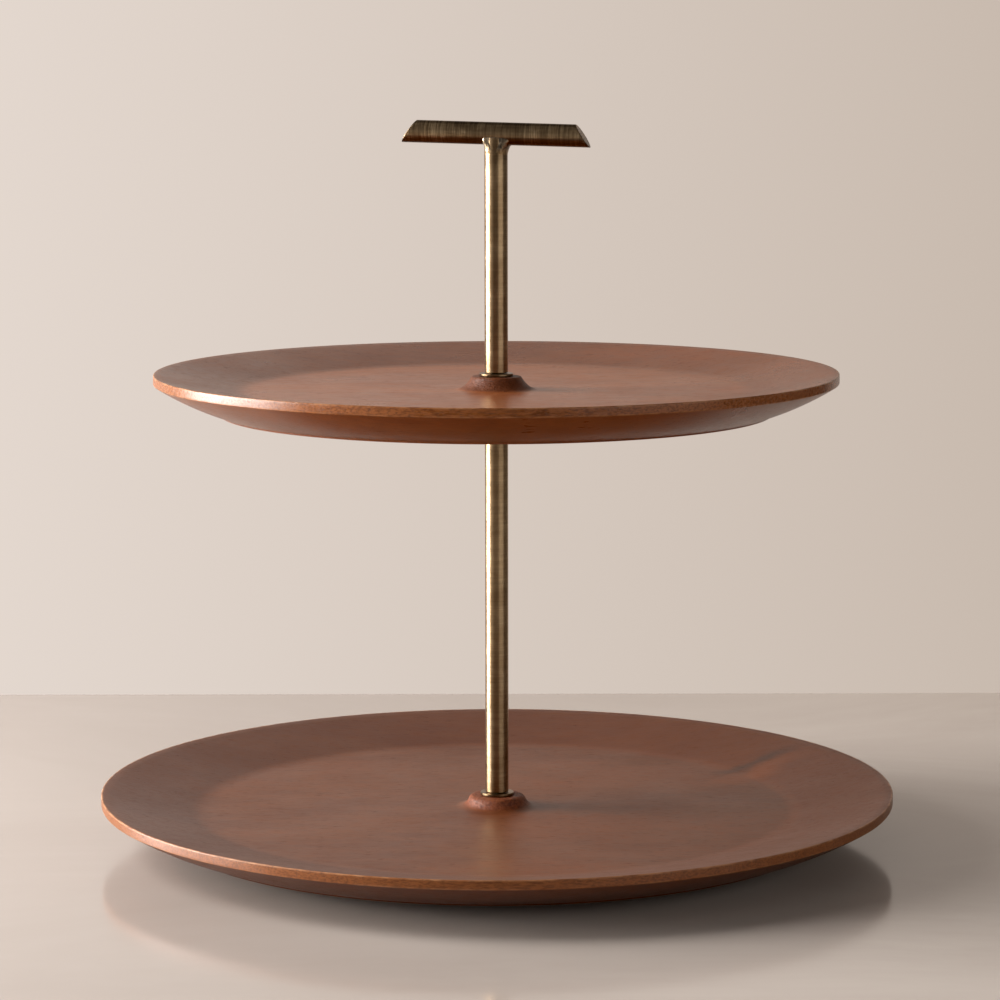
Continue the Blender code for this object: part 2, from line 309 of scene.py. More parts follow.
# ---------------------------------------------------------------- plates
def plate_outline(rim_radius, rim_height, base_radius, floor_radius, floor_height, boss_height,
                  boss_radius, boss_round, flank_slope, flare_radius, recess_radius, recess_depth):
    """Half section of a plate whose base lies at height 0."""
    points = [(PLATE_BORE_RADIUS, boss_height)]
    points += between((PLATE_BORE_RADIUS, boss_height), (boss_radius - boss_round, boss_height), 5)
    points += arc((boss_radius - boss_round, boss_height - boss_round), boss_round, 90, 90 - flank_slope, 9)
    flank_top = points[-1]
    flank_width = (flank_top[1] - floor_height) / math.tan(math.radians(flank_slope))
    flank_foot = (flank_top[0] + flank_width, floor_height)
    points += curve(flank_top, flank_foot, (flare_radius, floor_height), 18)[1:]
    slope = (rim_height - floor_height) / (rim_radius - floor_radius)
    bend_start = (floor_radius - FLOOR_BEND, floor_height)
    bend_end = (floor_radius + FLOOR_BEND, floor_height + slope * FLOOR_BEND)
    points += between(points[-1], bend_start, 16)
    points += curve(bend_start, (floor_radius, floor_height), bend_end, 10)
    rim_start = (rim_radius - RIM_ROUND, rim_height)
    points += between(bend_end, rim_start, 10)
    points += arc((rim_radius - RIM_ROUND, rim_height - RIM_ROUND), RIM_ROUND, 90, 0, 6)
    band_low = rim_height - RIM_BAND
    points += between((rim_radius, rim_height - RIM_ROUND), (rim_radius, band_low + RIM_ROUND), 4)
    points += arc((rim_radius - RIM_ROUND, band_low + RIM_ROUND), RIM_ROUND, 0, -60, 5)
    outer = Vector(points[-1])
    inner = Vector((base_radius, BASE_ROUND))
    along = inner - outer
    outward = Vector((-along.y, along.x)).normalized()
    for i in range(1, 16):
        t = i / 16
        p = outer + along * t + outward * UNDERSIDE_BULGE * 4 * t * (1 - t)
        points.append((p.x, p.y))
    points += arc((base_radius - BASE_ROUND, BASE_ROUND), BASE_ROUND, -10, -90, 6)
    centre = (recess_radius or PLATE_BORE_RADIUS, 0.0)
    points += between(points[-1], centre, 14)
    points.append(centre)
    if recess_radius:
        points.append((recess_radius, recess_depth))
        points.append((PLATE_BORE_RADIUS, recess_depth))
    return points


def make_plate(node, sizes, material):
    low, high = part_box(node)
    rim_radius = high.x
    rim_height = high.z - low.z
    outline = plate_outline(rim_radius, rim_height, **sizes)
    mesh = lathe(node, [(r, z + low.z) for r, z in outline], PLATE_STEPS)
    add_piece(f"{node}_turned", mesh, "stand", node, material)


# ---------------------------------------------------------------- rods, washers and fasteners
def tapped_hole(mouth, end):
    """Rings down a threaded bore, from its chamfered mouth to its drilled end on the axis."""
    step = math.copysign(1.0, end - mouth)
    shape = thread(TAPPED_RADIUS, TAP_THREAD_DEPTH, THREAD_PITCH)
    rings = [(TAPPED_RADIUS + TAP_CHAMFER, mouth), (TAPPED_RADIUS, mouth + step * TAP_CHAMFER)]
    count = round(abs(end - mouth) / THREAD_PITCH * 6)
    for i in range(1, count):
        z = mouth + step * TAP_CHAMFER + (end - mouth - step * TAP_CHAMFER * 2) * i / count
        rings.append((shape, z))
    rings += [(TAPPED_RADIUS, end - step * TAP_CHAMFER), (0.0, end + step * DRILL_POINT)]
    return rings


def make_lower_rod(brass):
    low, high = low_of("lower_rod").z, high_of("lower_rod").z
    r = ROD_RADIUS
    rings = list(reversed(tapped_hole(high, high - TAPPED_DEPTH)))
    rings += rounded([(TAPPED_RADIUS + TAP_CHAMFER, high, 0.0), (r, high, ROD_EDGE),
                      (r, high - ROD_PLAIN_END, 0.0)])[1:]
    rings += between((r, high - ROD_PLAIN_END), (r, low + ROD_PLAIN_END), 24)
    rings += rounded([(r, low + ROD_PLAIN_END, 0.0), (r, low, ROD_EDGE),
                      (TAPPED_RADIUS + TAP_CHAMFER, low, 0.0)])[:-1]
    rings += tapped_hole(low, low + TAPPED_DEPTH)
    mesh = lathe("lower_rod", rings, ROUND_STEPS, closed=False)
    add_piece("lower_rod_turned", mesh, "stand", "lower_rod", brass)


def make_upper_rod(brass):
    """Its top ends inside the bar, under the braze."""
    low = low_of("upper_rod").z
    high = BAR_AXIS_HEIGHT - ROD_TOP_BELOW_AXIS
    r = ROD_RADIUS
    rings = [(0.0, high), (r, high)]
    rings += between((r, high), (r, low + ROD_PLAIN_END), 20)
    rings += rounded([(r, low + ROD_PLAIN_END, 0.0), (r, low, ROD_EDGE),
                      (TAPPED_RADIUS + TAP_CHAMFER, low, 0.0)])[:-1]
    rings += tapped_hole(low, low + TAPPED_DEPTH)
    mesh = lathe("upper_rod", rings, ROUND_STEPS, closed=False)
    add_piece("upper_rod_turned", mesh, "handle", "upper_rod", brass)


def make_washer(node, body, material, edge):
    low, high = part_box(node)
    r = high.x
    outline = rounded([(WASHER_BORE_RADIUS, high.z, edge / 2), (r, high.z, edge),
                       (r, low.z, edge), (WASHER_BORE_RADIUS, low.z, edge / 2)])
    add_piece(f"{node}_turned", lathe(node, outline), body, node, material)


def make_stud(steel):
    low, high = low_of("middle_stud").z, high_of("middle_stud").z
    major = high_of("middle_stud").x
    rings = [(0.0, low), ((major - THREAD_CHAMFER) * 0.5, low)]
    rings += thread_rings(major, THREAD_DEPTH, THREAD_PITCH, low, high, THREAD_CHAMFER, THREAD_CHAMFER)
    rings += [((major - THREAD_CHAMFER) * 0.5, high), (0.0, high)]
    mesh = lathe("middle_stud", rings, 48, closed=False, sharp=60.0)
    add_piece("middle_stud_threaded", mesh, "stand", "middle_stud", steel)


def make_base_screw(steel):
    """Button-head screw with a hexagon socket, up through the lower plate."""
    low, high = low_of("base_screw"), high_of("base_screw")
    seat = low.z + BASE_SCREW_HEAD_HEIGHT
    head_radius = high.x
    major = TAPPED_RADIUS - THREAD_SLACK
    socket = hexagon(HEX_SOCKET_WIDTH)
    rings = [(0.0, high.z), ((major - THREAD_CHAMFER) * 0.5, high.z)]
    rings += reversed(thread_rings(major, THREAD_DEPTH, THREAD_PITCH, seat + BASE_SCREW_PLAIN_NECK,
                                   high.z, 0.0, THREAD_CHAMFER))
    rings += rounded([(major, seat + BASE_SCREW_PLAIN_NECK, 0.0), (major, seat, 0.0003),
                      (head_radius, seat, 0.0002), (head_radius, seat - BASE_SCREW_SKIRT, 0.0)])[1:]
    dome_height = BASE_SCREW_HEAD_HEIGHT - BASE_SCREW_SKIRT
    flat_radius = BASE_SCREW_FLAT_RADIUS
    for i in range(1, 13):
        angle = math.radians(90 * i / 12)
        rings.append((flat_radius + (head_radius - flat_radius) * math.cos(angle),
                      seat - BASE_SCREW_SKIRT - dome_height * math.sin(angle)))
    rings += [(hexagon(HEX_SOCKET_WIDTH + 0.0004), low.z),
              (socket, low.z + 0.0002),
              (socket, low.z + HEX_SOCKET_DEPTH),
              (0.0, low.z + HEX_SOCKET_DEPTH + 0.0004)]
    mesh = lathe("base_screw", rings, ROUND_STEPS, closed=False)
    add_piece("base_screw_threaded", mesh, "stand", "base_screw", steel)


def foot_mesh():
    low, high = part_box("foot_front_left")
    top_radius = (high.x - low.x) / 2
    height = high.z - low.z
    bore = FOOT_SCREW_RADIUS + 0.0003
    groove = height * 0.62
    side = top_radius - (top_radius - FOOT_RADIUS_BELOW) * (1 - groove / height)
    outline = rounded([(bore, height, 0.0),
                       (top_radius, height, 0.0008),
                       (side + 0.0001, groove + 0.0003, 0.0),
                       (side - 0.0002, groove, 0.0),
                       (side, groove - 0.0003, 0.0),
                       (FOOT_RADIUS_BELOW, 0.0, 0.0009),
                       (FOOT_COUNTERBORE_RADIUS, 0.0, 0.0003),
                       (FOOT_COUNTERBORE_RADIUS, FOOT_COUNTERBORE_DEPTH, 0.0003),
                       (bore, FOOT_COUNTERBORE_DEPTH, 0.0)])
    return lathe("foot", outline, 72)


def foot_screw_mesh():
    """Round-headed wood screw with a cross recess."""
    low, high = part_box("foot_screw_front_left")
    head_radius = (high.x - low.x) / 2
    head_low, tip = low.z, high.z
    head_top = head_low + FOOT_SCREW_HEAD_HEIGHT
    root = FOOT_SCREW_RADIUS - WOOD_THREAD_DEPTH
    shape = thread(FOOT_SCREW_RADIUS, WOOD_THREAD_DEPTH, WOOD_THREAD_PITCH)
    rings = [(0.0, tip)]
    for i in range(11, 0, -1):
        share = i / 12
        z = tip - FOOT_SCREW_POINT + FOOT_SCREW_POINT * share
        rings.append((lambda angle, height, share=share: shape(angle, height) * (1 - share * share), z))
    rings += reversed(thread_rings(FOOT_SCREW_RADIUS, WOOD_THREAD_DEPTH, WOOD_THREAD_PITCH,
                                   head_top + 0.0015, tip - FOOT_SCREW_POINT))
    rings += rounded([(root, head_top + 0.0014, 0.0), (root, head_top, 0.0002),
                      (head_radius, head_top, 0.0002), (head_radius, head_top - 0.0008, 0.0004),
                      (head_radius * 0.72, head_low, 0.0005), (head_radius * 0.55, head_low, 0.0)])
    rings += [(cross(CROSS_REACH, CROSS_HALF_WIDTH), head_low),
              (cross(CROSS_FLOOR_REACH, CROSS_FLOOR_HALF_WIDTH), head_low + CROSS_WALL_DEPTH),
              (0.0, head_low + CROSS_DEPTH)]
    return lathe("foot_screw", rings, 64, closed=False)


def make_feet(rubber, zinc):
    foot = foot_mesh()
    screw = foot_screw_mesh()
    for side in ("back_right", "back_left", "front_left", "front_right"):
        low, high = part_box(f"foot_{side}")
        spot = ((low.x + high.x) / 2, (low.y + high.y) / 2, 0.0)
        add_piece(f"foot_{side}_moulded", foot, "stand", f"foot_{side}", rubber, spot)
        add_piece(f"foot_screw_{side}_threaded", screw, "stand", f"foot_screw_{side}",
                  zinc, spot)


# ---------------------------------------------------------------- handle
def make_bar(brass):
    """Round bar along X, each end sloped so that the underside is longest."""
    half = BAR_LENGTH_BELOW / 2
    r = BAR_RADIUS
    end = [(0.0, half), (r * 0.4, half), (r * 0.8, half)]
    end += arc((r - BAR_EDGE, half - BAR_EDGE), BAR_EDGE, 90, 0, 6)
    rings = end + between((r, half - BAR_EDGE), (r, BAR_EDGE - half), 60)
    rings += [(radius, -x) for radius, x in reversed(end)]
    mesh = lathe("handle_bar", rings, ROUND_STEPS, closed=False)
    lay_down = Matrix.Rotation(math.radians(90.0), 4, "Y")
    droop = Matrix.Rotation(BAR_DROOP, 4, "Y")
    for vert in mesh.vertices:
        p = lay_down @ vert.co
        share_up = (p.z + r) / (2 * r)
        p.x *= 1 - BAR_END_SETBACK * share_up / half
        vert.co = droop @ p + Vector((0.0, 0.0, BAR_AXIS_HEIGHT))
    shade(mesh, 40.0)
    add_piece("handle_bar_cut", mesh, "handle", "handle_bar", brass)


def braze_lumps(angle, share):
    """How far the solidified filler stands proud, in metres, round the joint and across the bead."""
    spot = Vector((math.cos(angle) * 1.6, math.sin(angle) * 1.6, share * 1.5))
    rough = 0.00016 * noise.noise(spot * 2.3) + 0.00007 * noise.noise(spot * 5.1)
    blobs = 0.0
    for at, across, wide, proud in BRAZE_BLOBS:
        off = (math.degrees(angle) - at + 180) % 360 - 180
        blobs += proud * math.exp(-((off / wide) ** 2) - ((share - across) / 0.20) ** 2)
    return rough + blobs


def squared(value):
    """Pushes a sine or cosine out towards a square's corner."""
    return math.copysign(math.sqrt(abs(value)), value)


def make_braze(brass):
    """Fillet of filler metal that climbs from the rod onto the bar, lumpy as it set."""
    around, across = 240, 24
    bm = bmesh.new()
    loops = []
    for i in range(around):
        angle = math.tau * i / around
        out = Vector((math.cos(angle), math.sin(angle), 0.0))
        front = math.sin(angle) ** 2
        foot_drop = BRAZE_FOOT + 0.0003 * noise.noise(out * 2.7)
        wrap = BRAZE_WRAP * squared(out.y) + 0.07 * noise.noise(out * 3.1 + Vector((4.0, 0.0, 0.0)))
        reach = BRAZE_REACH + 0.0008 * out.x + 0.0003 * noise.noise(out * 2.2 + Vector((0.0, 7.0, 0.0)))
        a = out * ROD_RADIUS * 0.99 + Vector((0.0, 0.0, -foot_drop))
        c = Vector((reach * squared(out.x), BAR_RADIUS * 0.97 * math.sin(wrap),
                    -BAR_RADIUS * 0.97 * math.cos(wrap)))
        c.z -= c.x * math.tan(BAR_DROOP)
        loop = []
        lead = BRAZE_LEAD * (1 + front / 2)
        heading = Vector((out.x * (1 - front), 0.0, front)).normalized()
        leave = a + Vector((0.0, 0.0, lead))
        for j, p in enumerate(cubic(a, leave, c - heading * lead, c, across)):
            share = j / across
            window = 4 * share * (1 - share)
            fade = min(1.0, window * 1.5) ** 2
            loop.append(p + out * (BRAZE_SWELL * window + braze_lumps(angle, share) * fade))
        # The section closes inside the bar and the rod
        loop.append(c * 0.72)
        loop.append(Vector((a.x * 0.8, a.y * 0.8, a.z)))
        loops.append([bm.verts.new(p + Vector((0.0, 0.0, BAR_AXIS_HEIGHT))) for p in loop])
    for i in range(around):
        a, b = loops[i], loops[(i + 1) % around]
        for j in range(len(a)):
            k = (j + 1) % len(a)
            bm.faces.new((a[j], b[j], b[k], a[k]))
    bmesh.ops.recalc_face_normals(bm, faces=bm.faces)
    mesh = bpy.data.meshes.new("handle_braze")
    bm.to_mesh(mesh)
    bm.free()
    shade(mesh, 60.0)
    add_piece("handle_braze_fillet", mesh, "handle", "handle_braze", brass)


# ---------------------------------------------------------------- material building
class Graph:
    """A material's nodes, with short calls for the ones used here."""

    def __init__(self, name):
        self.material = bpy.data.materials.new(name)
        self.material.use_nodes = True
        self.nodes = self.material.node_tree.nodes
        self.links = self.material.node_tree.links
        self.shader = self.nodes["Principled BSDF"]
        self.position = self.nodes.new("ShaderNodeTexCoord").outputs["Object"]

    def put(self, socket, value):
        if isinstance(value, bpy.types.NodeSocket):
            self.links.new(value, socket)
        elif isinstance(value, (tuple, list)) and socket.type == "RGBA":
            socket.default_value = (*value[:3], 1.0)
        else:
            socket.default_value = value

    def node(self, kind, settings, **inputs):
        node = self.nodes.new(kind)
        for key, value in settings.items():
            setattr(node, key, value)
        for key, value in inputs.items():
            self.put(node.inputs[key], value)
        return node

    def math(self, operation, a, b=0.0):
        node = self.nodes.new("ShaderNodeMath")
        node.operation = operation
        self.put(node.inputs[0], a)
        self.put(node.inputs[1], b)
        return node.outputs[0]

    def vector(self, operation, a, b=(0.0, 0.0, 0.0)):
        node = self.nodes.new("ShaderNodeVectorMath")
        node.operation = operation
        self.put(node.inputs[0], a)
        self.put(node.inputs[1], b)
        return node.outputs["Value" if operation in ("LENGTH", "DISTANCE", "DOT_PRODUCT") else "Vector"]

    def parts(self, vector):
        node = self.node("ShaderNodeSeparateXYZ", {}, Vector=vector)
        return node.outputs["X"], node.outputs["Y"], node.outputs["Z"]

    def turned(self, vector, angle):
        node = self.node("ShaderNodeVectorRotate", {"rotation_type": "Z_AXIS"}, Vector=vector)
        node.inputs["Angle"].default_value = angle
        return node.outputs["Vector"]

    def noise(self, vector, per_metre, detail=3.0, roughness=0.5, distortion=0.0):
        """Noise whose grains are 1/per_metre long in each direction."""
        scaled = self.vector("MULTIPLY", vector, per_metre)
        return self.node("ShaderNodeTexNoise", {}, Vector=scaled, Scale=1.0, Detail=detail,
                         Roughness=roughness, Distortion=distortion).outputs["Fac"]

    def span(self, value, low, high, to_low=0.0, to_high=1.0, smooth=True):
        kind = "SMOOTHSTEP" if smooth else "LINEAR"
        node = self.nodes.new("ShaderNodeMapRange")
        node.interpolation_type = kind
        for socket, number in zip(node.inputs[:5], (value, low, high, to_low, to_high)):
            self.put(socket, number)
        return node.outputs[0]

    def mix(self, share, a, b, blend="MIX"):
        node = self.nodes.new("ShaderNodeMix")
        node.data_type = "RGBA"
        node.blend_type = blend
        self.put(node.inputs[0], share)
        self.put(node.inputs[6], a)
        self.put(node.inputs[7], b)
        return node.outputs[2]

    def bump(self, height, distance, strength=1.0, normal=None):
        node = self.node("ShaderNodeBump", {}, Height=height, Distance=distance, Strength=strength)
        if normal:
            self.put(node.inputs["Normal"], normal)
        return node.outputs["Normal"]

    def finish(self, **inputs):
        for key, value in inputs.items():
            self.put(self.shader.inputs[key.replace("_", " ")], value)
        return self.material


# ---------------------------------------------------------------- materials
WOOD_MID = (0.182, 0.054, 0.017)
WOOD_DARK = (0.138, 0.037, 0.011)
WOOD_LIGHT = (0.225, 0.074, 0.025)
WOOD_GRAIN = (0.088, 0.024, 0.008)
WOOD_ORANGE = (0.245, 0.066, 0.017)
WOOD_RIM_DARK = (0.062, 0.014, 0.004)
WOOD_WORN_AND_HIGHLIGHT = (0.400, 0.190, 0.088)
WOOD_MINERAL = (0.040, 0.018, 0.011)
WOOD_PORE = (0.050, 0.016, 0.008)
SEAT_LIGHT = (0.240, 0.062, 0.020)
SEAT_DARK = (0.120, 0.028, 0.009)
BAND_GOLD = (0.290, 0.098, 0.028)
BAND_DARK = (0.090, 0.024, 0.006)
MINERAL_STREAK = dict(along=0.1235, across=0.0785, angle=math.radians(38),
                      half_length=0.0290, half_width=0.0070)
# Plate tones: the upper plate's higher tone is partly paler wood, partly painted light; the floor factor is
# painted shade on the lower floor and painted light on the upper floor
LOWER_WOOD = dict(offset=(0.0, 0.0, 0.0), roughness=0.39, tone=1.0, floor_painted_shading=0.78, seat_tone=0.86,
                  rim_darkness=0.60, streak=MINERAL_STREAK)
UPPER_WOOD = dict(offset=(3.1, 1.7, 0.4), roughness=0.30, tone=1.44, floor_painted_shading=1.24, seat_tone=0.45,
                  rim_darkness=0.36)


def turned_wood(name, node, floor_radius, offset, roughness, tone, floor_painted_shading, seat_tone, rim_darkness,
                streak=None):
    """Stained, oiled hardwood: grain along the view's width, turned about the rod's axis."""
    low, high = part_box(node)
    g = Graph(name)
    grain = g.vector("ADD", g.turned(g.position, -VIEW_TURN), offset)
    z = g.parts(g.position)[2]
    radius = g.vector("LENGTH", g.vector("MULTIPLY", g.position, (1.0, 1.0, 0.0)))

    patches = g.noise(grain, (9.0, 22.0, 30.0), 3.0, 0.55, 0.6)
    figure = g.noise(grain, (38.0, 170.0, 170.0), 4.0, 0.62, 0.5)
    streaks = g.noise(grain, (120.0, 900.0, 900.0), 3.0, 0.6)
    fine = g.noise(grain, (320.0, 2600.0, 2600.0), 2.0, 0.6)
    pores = g.span(g.noise(grain, (190.0, 2100.0, 1500.0), 1.0, 0.4), 0.66, 0.74)
    orange = g.span(g.noise(grain, (6.0, 15.0, 15.0), 2.0, 0.5), 0.50, 0.68)

    color = g.mix(g.span(patches, 0.34, 0.66), WOOD_DARK, WOOD_MID)
    color = g.mix(g.span(figure, 0.36, 0.70, 0.0, 0.50), color, WOOD_LIGHT)
    color = g.mix(g.math("MULTIPLY", orange, 0.50), color, WOOD_ORANGE)
    color = g.mix(g.span(streaks, 0.36, 0.60, 0.48, 0.0), color, WOOD_GRAIN)
    color = g.mix(g.span(fine, 0.50, 0.75, 0.0, 0.22), color, WOOD_LIGHT)

    # Each plate's own shade: the upper plate's higher tone is partly paler wood and partly painted light
    # from above, which the lower plate doesn't get; on the floor, painted shade on the lower plate, under
    # the upper one, and painted light on the upper plate
    color = g.mix(1.0, color, (tone,) * 3, "MULTIPLY")
    on_floor = g.math("MULTIPLY", g.span(radius, floor_radius + 0.004, floor_radius - 0.004),
                      g.span(z, low.z + 0.0065, low.z + 0.0075))
    color = g.mix(on_floor, color, g.mix(1.0, color, (floor_painted_shading,) * 3, "MULTIPLY"))
    # The sloping rim and the underside are darker than the floor
    rim_darkening = g.math("MAXIMUM", g.span(radius, floor_radius - 0.005, floor_radius + 0.006),
                     g.span(z, low.z + 0.0065, low.z + 0.0035))
    color = g.mix(g.math("MULTIPLY", rim_darkening, rim_darkness), color, WOOD_RIM_DARK)

    # The upright edge is lighter and more golden, and its arrises are rubbed and carry a painted highlight
    band = g.math("MULTIPLY", g.span(radius, high.x - 0.0007, high.x - 0.0003),
                  g.span(z, high.z - RIM_BAND - 0.0002, high.z - RIM_BAND + 0.0003))
    color = g.mix(g.math("MULTIPLY", band, 0.70), color, BAND_GOLD)
    band_lines = g.noise(grain, (230.0, 1500.0, 1500.0), 3.0, 0.65, 0.4)
    color = g.mix(g.math("MULTIPLY", band, g.span(band_lines, 0.36, 0.60, 0.75, 0.0)), color, BAND_DARK)
    top_arris = g.math("MULTIPLY", g.span(radius, high.x - 0.0012, high.x - 0.0003),
                       g.span(z, high.z - 0.0008, high.z - 0.0002))
    low_arris = g.math("MULTIPLY", g.span(radius, high.x - 0.0008, high.x - 0.0001),
                       g.span(g.math("ABSOLUTE", g.math("SUBTRACT", z, high.z - RIM_BAND + 0.0003)),
                              0.0006, 0.0001))
    rubbed = g.noise(g.position, (130.0, 130.0, 130.0), 2.0, 0.6)
    low_arris = g.math("MULTIPLY", low_arris, 0.45)
    arrises = g.math("MAXIMUM", top_arris, low_arris)
    # Lighter arrises: partly rubbed wear, partly a painted highlight along the rim's arrises
    arris_wear_and_highlight = g.math("MULTIPLY", arrises, g.span(rubbed, 0.36, 0.66, 0.10, 0.8))
    color = g.mix(arris_wear_and_highlight, color, WOOD_WORN_AND_HIGHLIGHT)
    # Painted shade darkens the crease where the floor turns up
    crease_painted_shade = g.span(g.math("ABSOLUTE", g.math("SUBTRACT", radius, floor_radius)), 0.0060, 0.0, 0.0, 0.22)
    color = g.mix(g.math("MULTIPLY", crease_painted_shade, g.span(z, low.z + 0.006, low.z + 0.007)), color, WOOD_DARK)
    # The seat has open grain and a fine mottle of its own
    seat = g.math("MULTIPLY", g.span(radius, 0.0185, 0.0150), g.span(z, low.z + 0.0088, low.z + 0.0108))
    seat_mottle = g.noise(g.position, (800.0, 800.0, 800.0), 3.0, 0.65)
    seat_color = g.mix(g.span(seat_mottle, 0.34, 0.62), SEAT_DARK, SEAT_LIGHT)
    seat_color = g.mix(1.0, seat_color, (seat_tone,) * 3, "MULTIPLY")
    color = g.mix(g.math("MULTIPLY", seat, 0.80), color, seat_color)
    color = g.mix(g.math("MULTIPLY", pores, 0.50), color, WOOD_PORE)
    if streak:
        color = mineral_streak(g, grain, color, **streak)

    tool_lines = g.noise(g.node("ShaderNodeCombineXYZ", {}, X=radius).outputs["Vector"],
                         (700.0, 1.0, 1.0), 2.0, 0.6)
    sheen_patches = g.noise(g.position, (22.0, 22.0, 22.0), 3.0, 0.6)
    rough = g.span(sheen_patches, 0.3, 0.7, roughness - 0.03, roughness + 0.03)
    rough = g.math("ADD", rough, g.span(streaks, 0.4, 0.7, 0.0, 0.07))
    rough = g.math("ADD", rough, g.math("MULTIPLY", pores, 0.15))
    rough = g.math("SUBTRACT", rough, g.math("MULTIPLY", band, 0.03))
    rough = g.math("ADD", rough, g.math("MULTIPLY", seat, 0.14))
    open_grain = g.noise(g.position, (1000.0, 1000.0, 1000.0), 2.0, 0.6)
    normal = g.bump(open_grain, 0.00055, g.math("MULTIPLY", seat, 0.8))
    normal = g.bump(g.math("SUBTRACT", 1.0, pores), 0.00010, 0.40, normal)
    normal = g.bump(streaks, 0.00005, 0.50, normal)
    normal = g.bump(tool_lines, 0.00003, 0.25, normal)
    return g.finish(Base_Color=color, Roughness=rough, Normal=normal, IOR=1.46, Specular_IOR_Level=0.34)


def mineral_streak(g, grain, color, along, across, angle, half_length, half_width):
    """A dark mineral streak that crosses the grain at an angle, with an orange patch on its near side."""
    place = g.turned(g.vector("SUBTRACT", grain, (along, across, 0.0)), -angle)
    u, v = g.parts(place)[:2]
    wander = g.noise(grain, (50.0, 50.0, 10.0), 3.0, 0.6)
    v = g.math("ADD", v, g.span(wander, 0.3, 0.7, -0.0035, 0.0035, smooth=False))
    length = g.span(g.math("ABSOLUTE", u), half_length, half_length * 0.30)
    line = g.math("MULTIPLY", length, g.span(g.math("ABSOLUTE", v), half_width, 0.0))
    beside = g.math("ABSOLUTE", g.math("ADD", v, half_width * 1.5))
    glow_length = g.span(g.math("ABSOLUTE", g.math("ADD", u, half_length * 0.5)),
                         half_length * 1.5, half_length * 0.3)
    glow = g.math("MULTIPLY", glow_length, g.span(beside, half_width * 1.6, 0.0))
    color = g.mix(g.math("MULTIPLY", glow, 0.32), color, WOOD_ORANGE)
    return g.mix(g.math("MULTIPLY", line, 0.74), color, WOOD_MINERAL)


STEEL_DULL = (0.42, 0.41, 0.39)
STEEL_BRIGHT = (0.62, 0.61, 0.59)
STEEL_GROOVE = (0.26, 0.25, 0.24)
ZINC_DARK = (0.50, 0.50, 0.47)
ZINC_LIGHT = (0.66, 0.67, 0.66)
ZINC_YELLOWED = (0.48, 0.43, 0.30)
RUBBER = (0.018, 0.016, 0.015)
RUBBER_DUST = (0.070, 0.062, 0.055)
BRASS_CLEAN = (0.430, 0.305, 0.175)
BRASS_AGED = (0.300, 0.198, 0.106)
BRASS_SMOKED = (0.100, 0.064, 0.036)
BRASS_UNDERSIDE_SHADE = (0.070, 0.052, 0.036)
BRAZE_BRIGHT = (0.420, 0.325, 0.215)
BRAZE_BURNT_SHADED = (0.095, 0.076, 0.058)
BRAZE_GRIT = (0.060, 0.044, 0.030)


def aged_brass(name, crossed_axis, contrast, stretch, painted_shade_amount=0.0):
    """Antiqued brass with brush lines round the piece, which cross the given axis."""
    g = Graph(name)
    coarse, close = [60.0] * 3, [110.0] * 3
    coarse[crossed_axis] = 1000.0
    close[crossed_axis] = 2600.0
    bands = g.noise(g.position, tuple(coarse), 2.0, 0.6)
    lines = g.noise(g.position, tuple(close), 2.0, 0.65)
    cloud = g.noise(g.position, (120.0, 120.0, 120.0), 4.0, 0.6, 0.5)
    specks = g.span(g.noise(g.position, (900.0, 900.0, 900.0), 2.0, 0.5), 0.68, 0.78)
    weld = g.vector("DISTANCE", g.position, (0.0, 0.0, BAR_AXIS_HEIGHT - 0.004))
    smoke = g.span(g.math("ADD", weld, g.span(cloud, 0.3, 0.7, -0.004, 0.004)), 0.007, 0.022, 1.0, 0.0)

    color = g.mix(g.span(cloud, 0.32, 0.68), BRASS_AGED, BRASS_CLEAN)
    color = g.mix(g.span(bands, 0.38, 0.60, 0.70 * contrast, 0.0), color, BRASS_SMOKED)
    color = g.mix(g.span(lines, 0.38, 0.60, 0.55 * contrast, 0.0), color, BRASS_SMOKED)
    color = g.mix(g.math("MULTIPLY", smoke, 0.45), color, BRASS_SMOKED)
    color = g.mix(g.math("MULTIPLY", specks, 0.35), color, BRASS_SMOKED)
    if crossed_axis == 0:
        # Painted shade: the bar's underside darkened, for the dark it reflects from below
        height = g.parts(g.position)[2]
        under = g.span(height, BAR_AXIS_HEIGHT - 0.0015, BAR_AXIS_HEIGHT - 0.0021, 0.0, 0.66)
        color = g.mix(under, color, BRASS_UNDERSIDE_SHADE)
    # Painted shade: the whole piece darkened, for washers that sit in shade
    if painted_shade_amount:
        color = g.mix(g.span(cloud, 0.30, 0.70, painted_shade_amount + 0.15, painted_shade_amount - 0.15), color, BRASS_SMOKED)

    rough = g.span(cloud, 0.3, 0.7, 0.30, 0.34)
    rough = g.math("ADD", rough, g.span(lines, 0.35, 0.65, 0.04, 0.0))
    rough = g.math("ADD", rough, g.math("MULTIPLY", specks, 0.12))
    normal = g.bump(lines, 0.000004, 0.6)
    axis = g.node("ShaderNodeTangent", {"direction_type": "RADIAL", "axis": "XYZ"[crossed_axis]})
    return g.finish(Base_Color=color, Roughness=rough, Normal=normal, Metallic=1.0, Anisotropic=stretch,
                    Anisotropic_Rotation=0.25, Tangent=axis.outputs["Tangent"])


